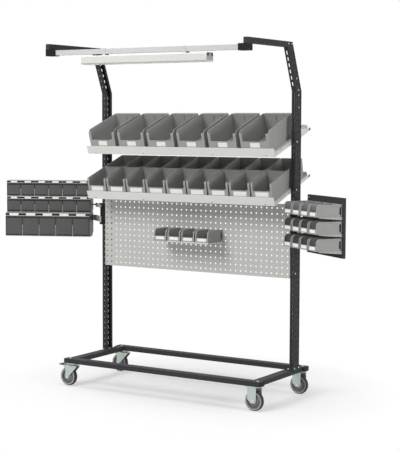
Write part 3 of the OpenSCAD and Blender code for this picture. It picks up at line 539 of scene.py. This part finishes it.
def tray_lip():
    bm = bmesh.new()
    length = TRAY_END - LIP_LEFT
    middle = (LIP_LEFT + TRAY_END) / 2
    slab(bm, PANEL_TRAY @ place(middle, LIP_FRONT, LIP_Z), length, LIP_H, LIP_T, LIP_R)
    ledge = place(middle, (LIP_FRONT + LEDGE_REAR) / 2, LEDGE_Z, tilt=-QUARTER)
    slab(bm, PANEL_TRAY @ ledge, length, LEDGE_REAR - LIP_FRONT, LIP_T, LIP_R)
    for side in SIDES:
        tray_wedge(bm, side)
    piece("panel_tray_lip", bm, LIT_TRAY, "frame")


tray_lip()


# Tilt-bin cabinets: pale strips, labels, divider edges and the faces of the bins

# Each cabinet has its row, count of bins, lower edge, height, depth and height of its strip.
CABINETS = ((1, 6, 1.238, 0.112, 0.091, 0.018), (2, 6, 1.126, 0.112, 0.091, 0.018),
            (3, 5, 0.962, 0.164, 0.133, 0.024))
CABINET_X = -LEFT_REACH - CABINET_W
STRIP_T = 0.0008
STRIP_R = 0.0008
STRIP_RIM = 0.0006
GRIP_HALF = 0.026
END_GAP = 0.0003
BANDS = ((0.86, 0.24), (0.11, 0.18))
BAND_R = 0.0006
STRIP_CARD_T = 0.0006
STRIP_CARD_R = 0.001
STRIP_CARD_IN = 0.0015
STRIP_CARD_SHARE = 0.68
STRIP_CARD_UP = 0.0005
EDGE_W = 0.0030
EDGE_T = 0.0018
EDGE_R = 0.0007
EDGE_UP = 0.0045
# The share of a divider's height that gets the pale edge; the dark housing above it is painted shade for the
# upper gap.
UNSHADED_EDGE_SHARE = 0.55
SILL_W = 0.5985
SILL_H = 0.0040
SILL_R = 0.0008
SILL_UP = 0.0023
# The faces stop short of each bin's edges, so the darker plastic shows round them as painted shade for the
# gaps.
FACE_GAP = 0.0049
FACE_LOW = 0.0155
FACE_TOP_GAP = 0.0130
FACE_T = 0.0008
FACE_CROWN = 0.0024
FACE_FRONT = 0.0021


def cell_w(count):
    return (CABINET_W - BOX_T) / count


def cell_x(i, count):
    """The place of divider i in a cabinet of count bins, or of a bin's middle where i ends in a half."""
    return CABINET_X + BOX_T / 2 + i * cell_w(count)


def plate_w(count):
    """The width of the strip's face over a bin, between two grips."""
    return cell_w(count) - 2 * (GRIP_HALF + END_GAP)


def strip_faces(row, count, z, h, d, strip):
    """The pale face of a cabinet's top strip, which leaves a dark grip free at each divider and end."""
    bm = bmesh.new()
    front = LEFT_BACK - d - SEAT
    top = z + h
    for i in range(count):
        at = LEFT @ place(cell_x(i + 0.5, count), front, top - strip / 2)
        slab(bm, at, plate_w(count), strip - 2 * STRIP_RIM, STRIP_T, STRIP_R)
    for i in range(count + 1):
        x0 = max(CABINET_X + END_GAP, cell_x(i, count) - GRIP_HALF)
        x1 = min(CABINET_X + CABINET_W - END_GAP, cell_x(i, count) + GRIP_HALF)
        for middle, share in BANDS:
            at = LEFT @ place((x0 + x1) / 2, front, top - strip * middle)
            slab(bm, at, x1 - x0, strip * share, STRIP_T, BAND_R)
    piece(f"strip_{row}", bm, STRIP, "left_carrier")


def divider_edges(row, count, z, h, d, strip):
    """A pale edge on the lower part of each divider's front, and one along the sill; the dark housing left
    above each edge is painted shade.
    """
    bm = bmesh.new()
    front = LEFT_BACK - d - SEAT
    edge_h = UNSHADED_EDGE_SHARE * (h - strip)
    for i in range(1, count):
        at = LEFT @ place(cell_x(i, count), front, z + EDGE_UP + edge_h / 2)
        slab(bm, at, EDGE_W, edge_h, EDGE_T, EDGE_R)
    at = LEFT @ place(CABINET_X + CABINET_W / 2, front, z + SILL_UP)
    slab(bm, at, SILL_W, SILL_H, EDGE_T, SILL_R)
    piece(f"divider_edges_{row}", bm, EDGE, "left_carrier")


def strip_labels(row, count, z, h, d, strip):
    """A label card on the strip over each bin."""
    bm = bmesh.new()
    front = LEFT_BACK - d - SEAT - STRIP_T
    for i in range(count):
        at = LEFT @ place(cell_x(i + 0.5, count), front, z + h - strip / 2 + STRIP_CARD_UP)
        slab(bm, at, plate_w(count) - 2 * STRIP_CARD_IN, strip * STRIP_CARD_SHARE, STRIP_CARD_T, STRIP_CARD_R)
    piece(f"strip_labels_{row}", bm, PAPER, "left_carrier")


def cup_faces(row, count, z, h, d, strip):
    """A crowned face on the front of each tilt-out bin, inside a border of darker plastic that is painted
    shade for the gap around the bin.
    """
    w = cell_w(count) - 2 * FACE_GAP
    high = h - strip - FACE_TOP_GAP
    for i in range(count):
        bm = bmesh.new()
        at = LEFT @ place(cell_x(i + 0.5, count), LEFT_BACK - d - FACE_FRONT, z + (FACE_LOW + high) / 2)
        crowned(bm, at, w, high - FACE_LOW, FACE_T, FACE_CROWN)
        piece(f"cup_face_{row}_{i + 1}", bm, CUP_FACE, f"cup_{row}_{i + 1}")


for cabinet in CABINETS:
    strip_faces(*cabinet)
    divider_edges(*cabinet)
    strip_labels(*cabinet)
    cup_faces(*cabinet)


# Screws on the frame and the carriers

# Places of the screws on the outer sides of the uprights, lamp arms and clamps, as (y, z).
UPRIGHT_SCREWS = ((0.119, 2.036), (0.145, 1.965), (0.148, 1.931), (0.150, 1.855), (0.130, 1.641),
                  (0.130, 1.339), (0.124, 0.807), (0.125, 0.198), (0.179, 0.198))
LAMP_ARM_SCREWS = ((0.010, 2.247), (0.052, 2.247))
CLAMP_SCREWS = ((-0.486, 2.203), (-0.452, 2.203))
REAR_SCREW_X = 0.742
REAR_SCREW_UP = 0.100
BRACKET_SCREW_Y = 0.155
BRACKET_SCREW_X = 0.737
BRACKET_SCREWS_Z = (1.078, 1.178)
PANEL_SCREW_IN = 0.022
PANEL_SCREWS_UP = (0.016, 0.347)
# Columns and rows of the screws on the back of each carrier plate.
LEFT_SCREWS = ((-0.600, -0.365, -0.130), (1.030, 1.180, 1.290))
RIGHT_SCREWS = ((0.085, 0.247, 0.409), (1.010, 1.252))


def frame_screws():
    bm = bmesh.new()
    for side in SIDES:
        for y, z in UPRIGHT_SCREWS + LAMP_ARM_SCREWS:
            screw(bm, facing((side * HALF_W, y, z), (side, 0, 0)), r=0.0055, h=0.003)
        for shelf_z in (UPPER_Z, LOWER_Z):
            at = facing((side * REAR_SCREW_X, UPRIGHT_REAR, shelf_z + REAR_SCREW_UP), (0, 1, 0))
            screw(bm, at, r=0.006, h=0.006)
    piece("frame_screws", bm, BOLT_ZINC, "frame")


def bracket_screws():
    bm = bmesh.new()
    front = UPRIGHT_FRONT - BRACKET_T - SEAT
    for side in SIDES:
        for z in BRACKET_SCREWS_Z:
            point = (side * (HALF_W + BRACKET_T), BRACKET_SCREW_Y, z)
            screw(bm, facing(point, (side, 0, 0)), r=0.006, h=0.004)
            screw(bm, facing((side * BRACKET_SCREW_X, front, z), (0, -1, 0)), r=0.006, h=0.004)
        for y, z in CLAMP_SCREWS:
            screw(bm, facing((side * HALF_W, y, z), (side, 0, 0)), r=0.0045, h=0.003)
    piece("bracket_screws", bm, BRACKET, "frame")


def right_panel_screws():
    bm = bmesh.new()
    for up in PANEL_SCREWS_UP:
        point = (RIGHT_REACH + PANEL_SCREW_IN, RIGHT_FRONT, RIGHT_Z + up)
        screw(bm, RIGHT @ facing(point, (0, -1, 0)), r=0.005, h=0.0028)
    piece("right_panel_screws", bm, ARM_ZINC, "right_carrier")


def carrier_screws(body, swing, back, columns, rows):
    bm = bmesh.new()
    for x in columns:
        for z in rows:
            screw(bm, swing @ facing((x, back, z), (0, 1, 0)), r=0.006, h=0.0035)
    piece(f"{body}_screws", bm, BOLT_ZINC, body)


frame_screws()
bracket_screws()
right_panel_screws()
carrier_screws("left_carrier", LEFT, LEFT_BACK + CARRIER_T, *LEFT_SCREWS)
carrier_screws("right_carrier", RIGHT, RIGHT_BACK + CARRIER_T, *RIGHT_SCREWS)


# Lamp: grey end plates with plugs, the grey being painted shade for the lamp's ends; the screws of the body;
# and a grey strip along both sides of the diffuser, painted shade for its lower bevel

END_PLATE_T = 0.0012
LAMP_PLUG_X = 0.024
LAMP_PLUG_UP = 0.011
SEAM_UP = 0.0195
# Places of the screws on the front of the lamp, as (x, z).
LAMP_SCREWS = ((-0.300, 2.167), (0.300, 2.167), (-0.393, 2.135), (0.393, 2.135))
# Place and size of the grey strip that is painted shade for the diffuser's lower bevel.
SHADE_STRIP_Z = 2.1280
SHADE_STRIP_L = 0.930
SHADE_STRIP_H = 0.0032


# The grey end plates are painted shade for the lamp's ends.
def lamp_ends():
    plates = bmesh.new()
    plugs = bmesh.new()
    for side in SIDES:
        end = outward(LAMP_HALF, LAMP_Y, (LAMP_LOW + LAMP_TOP) / 2, side)
        slab(plates, end, w=0.070, h=0.044, t=END_PLATE_T, r=0.005)
        for way in SIDES:
            at = end @ place(way * LAMP_PLUG_X, -END_PLATE_T, LAMP_PLUG_UP)
            slab(plugs, at, w=0.013, h=0.019, t=0.0016, r=0.005)
        slab(plugs, end @ place(0, -END_PLATE_T, SEAM_UP), w=0.036, h=0.0022, t=0.0008, r=0.001)
    piece("lamp_end_plates", plates, LAMP_END_SHADED, "frame")
    piece("lamp_plugs", plugs, SEAL_AND_SLOT_SHADE, "frame")


def lamp_screws():
    bm = bmesh.new()
    for x, z in LAMP_SCREWS:
        screw(bm, facing((x, LAMP_FRONT, z), (0, -1, 0)), r=0.0032, h=0.0014)
    piece("lamp_screws", bm, LAMP_END_SHADED, "frame")


# A grey strip on the front and the back of the lamp, painted shade for the diffuser's lower bevel.
def lamp_shade_strip():
    bm = bmesh.new()
    for turn in (0, math.pi):
        at = place(0, LAMP_Y, SHADE_STRIP_Z, turn=turn) @ place(0, LAMP_FRONT - LAMP_Y, 0)
        slab(bm, at, SHADE_STRIP_L, SHADE_STRIP_H, t=0.0006, r=0.0005)
    piece("lamp_shade_strip", bm, LAMP_SHADE_STRIP, "frame")


lamp_ends()
lamp_screws()
lamp_shade_strip()


# Castors: rings and guards on the wheels, race seals and pedal levers

WHEELS = (("fl", -CASTOR_X - TRAIL, -CASTOR_Y), ("rl", -CASTOR_X - TRAIL, CASTOR_Y),
          ("fr", CASTOR_X, -CASTOR_Y), ("rr", CASTOR_X, CASTOR_Y))
# Profiles as (radius, height), two from the side of the tyre and one from the foot of the seal.
RING_PROFILE = ((0.0500, -0.0003), (0.0503, 0.0005), (0.0518, 0.0009), (0.0533, 0.0005), (0.0536, -0.0003))
GUARD_PROFILE = ((0.0155, -0.0108), (0.0155, 0.0005), (0.0195, 0.0008), (0.0235, -0.0020), (0.0370, -0.0080),
                 (0.0385, -0.0108))
SEAL_PROFILE = ((0.0258, 0.0), (0.0275, 0.0004), (0.0282, 0.0020), (0.0275, 0.0042), (0.0258, 0.0046))
SEAL_Z = 0.1405
LEVER_OUT = 0.0285
LEVER_UP = 0.0097
LEVER_SLOPE = math.radians(3.2)


def wheel_trim(name, x, y):
    rings = bmesh.new()
    guards = bmesh.new()
    for side in SIDES:
        at = facing((x, y + side * TYRE_SIDE, WHEEL_R), (0, side, 0))
        turned(rings, at, RING_PROFILE, WHEEL_STEPS)
        turned(guards, at, GUARD_PROFILE, WHEEL_STEPS)
    piece(f"tyre_rings_{name}", rings, RING, f"wheel_{name}")
    piece(f"wheel_guards_{name}", guards, WHEEL, f"wheel_{name}")


def race_seals():
    bm = bmesh.new()
    for y in (-CASTOR_Y, CASTOR_Y):
        turned(bm, place(-CASTOR_X, y, SEAL_Z), SEAL_PROFILE, SEAL_STEPS)
    piece("race_seals", bm, SEAL_AND_SLOT_SHADE, "frame")


def pedal_lever(name, y):
    bm = bmesh.new()
    at = place(-CASTOR_X - PEDAL_X - LEVER_OUT, y, PEDAL_Z + LEVER_UP)
    at = at @ Matrix.Rotation(LEVER_SLOPE, 4, "Y") @ Matrix.Rotation(QUARTER, 4, "X")
    slab(bm, at, w=0.0300, h=0.0400, t=0.0040, r=0.006)
    piece(f"pedal_lever_{name}", bm, BOLT_ZINC, f"pedal_{name}")


for wheel in WHEELS:
    wheel_trim(*wheel)
race_seals()
pedal_lever("fl", -CASTOR_Y)
pedal_lever("rl", CASTOR_Y)


# Plugs in the slots at the rear of the shelf arms

ARM_PLUG_X = 0.7198
ARM_PLUG_Y = 0.4830
ARM_PLUG_Z = 0.0070

bm = bmesh.new()
for shelf_z in (UPPER_Z, LOWER_Z):
    for side in SIDES:
        at = slope(shelf_z) @ outward(ARM_PLUG_X, ARM_PLUG_Y, ARM_PLUG_Z, side)
        slab(bm, at, w=0.0220, h=0.0100, t=0.0012, r=0.0030)
piece("shelf_arm_plugs", bm, SEAL_AND_SLOT_SHADE, "frame")


# Plates stacked above and below the upper swing bars, held by two spacers

STACK_LOW = 1.1690
STACK_HIGH = 1.1910
STACK_W = 0.0120
STACK_T = 0.0030
STACK_R = 0.004
STACK_START = 0.0200
LEFT_BAR_X = -0.075
RIGHT_BAR_X = 0.038
SPACER_R = 0.0052
SPACER_IN = 0.008
SPACER_OUT = 0.001


def bar_plates(body, swing, x, y, end):
    """Plates on the bar that runs from the hinge to x, y, up to the distance end from the hinge."""
    bm = bmesh.new()
    bar = swing @ Matrix.Rotation(math.atan2(y, x), 4, "Z")
    for z in (STACK_LOW, STACK_HIGH):
        at = bar @ place((STACK_START + end) / 2, 0, z, tilt=-QUARTER)
        slab(bm, at, end - STACK_START, STACK_W, STACK_T, STACK_R)
    top = STACK_HIGH - STACK_LOW + STACK_T + 2 * SPACER_OUT
    tip_r = 0.8 * SPACER_R
    spacer = ((0, top), (tip_r, top), (SPACER_R, top - SPACER_OUT),
              (SPACER_R, SPACER_OUT), (tip_r, 0), (0, 0))
    for r in (STACK_START + SPACER_IN, end - SPACER_IN):
        turned(bm, bar @ place(r, 0, STACK_LOW - SPACER_OUT), spacer, SCREW_STEPS)
    piece(f"{body}_bar_plates", bm, FRAME_PAINT, body)


bar_plates("left_carrier", LEFT, LEFT_BAR_X, LEFT_BACK + CARRIER_T, end=0.140)
bar_plates("right_carrier", RIGHT, RIGHT_BAR_X, RIGHT_BACK + CARRIER_T, end=0.050)


# Grey tabs on the shelf lips: painted shade for the small slots in the lips

# Places of the grey tabs along a lip, as shares of the span to either side of its middle.
LIP_SHADE_SHARES = (-0.91, -0.37, 0.37, 0.91)
LIP_SHADE_SPAN = 0.7165
LIP_SHADE_SUNK = 0.0002
LIP_SHADE_UP = 0.0095

# Each grey tab is painted shade for a slot in the lip.
bm = bmesh.new()
for shelf_z in (UPPER_Z, LOWER_Z):
    for share in LIP_SHADE_SHARES:
        at = slope(shelf_z) @ place(share * LIP_SHADE_SPAN, LIP_SHADE_SUNK, LIP_SHADE_UP)
        slab(bm, at, w=0.0140, h=0.0060, t=0.0010, r=0.0015)
piece("shelf_lip_slot_shades", bm, SHADED_TRAY, "frame")


# Folded hems inside the uprights, behind their slots

HEM_X = 0.7239
HEM_Y = 0.1285
HEM_LOW = 0.196
HEM_HIGH = 1.950

bm = bmesh.new()
for side in SIDES:
    at = place(side * HEM_X, HEM_Y, (HEM_LOW + HEM_HIGH) / 2, turn=-side * QUARTER)
    slab(bm, at, w=0.0210, h=HEM_HIGH - HEM_LOW, t=0.0018, r=0.0008)
piece("upright_hems", bm, FRAME_PAINT, "frame")


# Camera that was fitted to the photograph

CAMERA_AT = (4.5018, -7.0409, 1.7550)
YAW = math.radians(31.92)
PITCH = math.radians(4.54)
ROLL = math.radians(0.19)
FOCAL_PX = 1282
PICTURE_PX = 450
SENSOR = 36

forward = Vector((-math.sin(YAW) * math.cos(PITCH), math.cos(YAW) * math.cos(PITCH), -math.sin(PITCH)))
level = Vector((math.cos(YAW), math.sin(YAW), 0))
up = level.cross(forward)
across = level * math.cos(ROLL) + up * math.sin(ROLL)
upward = up * math.cos(ROLL) - level * math.sin(ROLL)
camera = bpy.data.objects.new("camera", bpy.data.cameras.new("camera"))
bpy.context.scene.collection.objects.link(camera)
axes = Matrix((across, upward, -forward)).transposed().to_4x4()
camera.matrix_world = Matrix.Translation(CAMERA_AT) @ axes
camera.data.sensor_width = SENSOR
camera.data.lens = FOCAL_PX / PICTURE_PX * SENSOR
camera.data.clip_end = 100
bpy.context.scene.camera = camera


# White background and pale floor

WORLD_LIGHT = 0.33
FLOOR_R = 30
FLOOR_STEPS = 96
FLOOR_BOUNCE = 0.55
FLOOR_SEEN = 0.96
FADE_START = 0.5
FADE_END = 1.4
FADE_LEAST = 0.2


def seen_rays(tree):
    """1 on camera, glossy and transmission rays, so that they meet the white background."""
    path = tree.nodes.new("ShaderNodeLightPath")
    total = path.outputs["Is Camera Ray"]
    for key in ("Is Glossy Ray", "Is Transmission Ray"):
        most = tree.nodes.new("ShaderNodeMath")
        most.operation = "MAXIMUM"
        tree.links.new(total, most.inputs[0])
        tree.links.new(path.outputs[key], most.inputs[1])
        total = most.outputs["Value"]
    return total


def studio_world():
    """A world that shows white and lights the object less brightly."""
    world = bpy.data.worlds.new("studio")
    bpy.context.scene.world = world
    world.use_nodes = True
    tree = world.node_tree
    background = tree.nodes["Background"]
    background.inputs["Color"].default_value = grey(1)
    strength = tree.nodes.new("ShaderNodeMapRange")
    strength.inputs["To Min"].default_value = WORLD_LIGHT
    tree.links.new(seen_rays(tree), strength.inputs["Value"])
    tree.links.new(strength.outputs["Result"], background.inputs["Strength"])


def floor_paint():
    """Pale floor that keeps the shadow and fades into the white background."""
    look = Look("floor_look")
    look.colour(look.mix(seen_rays(look.tree), grey(FLOOR_BOUNCE), grey(FLOOR_SEEN)))
    look.shader.inputs["Roughness"].default_value = 0.9
    look.specular(0.1)
    glow = look.add("ShaderNodeEmission")
    far = look.add("ShaderNodeVectorMath", operation="LENGTH")
    look.link(look.coords.outputs["Object"], far.inputs[0])
    fade = look.ramp(far.outputs["Value"], FADE_START, FADE_END, FADE_LEAST, 1.0)
    blend = look.add("ShaderNodeMixShader")
    look.link(look.product(seen_rays(look.tree), fade), blend.inputs["Fac"])
    look.link(look.shader.outputs["BSDF"], blend.inputs[1])
    look.link(glow.outputs["Emission"], blend.inputs[2])
    look.link(blend.outputs["Shader"], look.tree.nodes["Material Output"].inputs["Surface"])
    return look.mat


studio_world()
bm = bmesh.new()
bmesh.ops.create_circle(bm, cap_ends=True, segments=FLOOR_STEPS, radius=FLOOR_R)
mesh = bpy.data.meshes.new("floor")
bm.to_mesh(mesh)
bm.free()
floor = bpy.data.objects.new("floor", mesh)
bpy.context.scene.collection.objects.link(floor)
floor.data.materials.append(floor_paint())


# Soft studio light


def area_light(name, at, target, size, power):
    light = bpy.data.lights.new(name, "AREA")
    light.shape = "RECTANGLE"
    light.size = size
    light.size_y = size
    light.energy = power
    obj = bpy.data.objects.new(name, light)
    bpy.context.scene.collection.objects.link(obj)
    obj.location = at
    obj.rotation_mode = "QUATERNION"
    obj.rotation_quaternion = (Vector(target) - Vector(at)).to_track_quat("-Z", "Y")


area_light("key", (-1.3, -5.4, 4.8), target=(0, 0, 1.1), size=3.0, power=245)
area_light("top", (-0.8, -0.4, 6.0), target=(0, 0, 0.5), size=4.5, power=125)
area_light("side", (6.5, -0.4, 2.3), target=(0.5, 0, 1.2), size=2.4, power=112)
bpy.context.scene.view_settings.view_transform = "Standard"
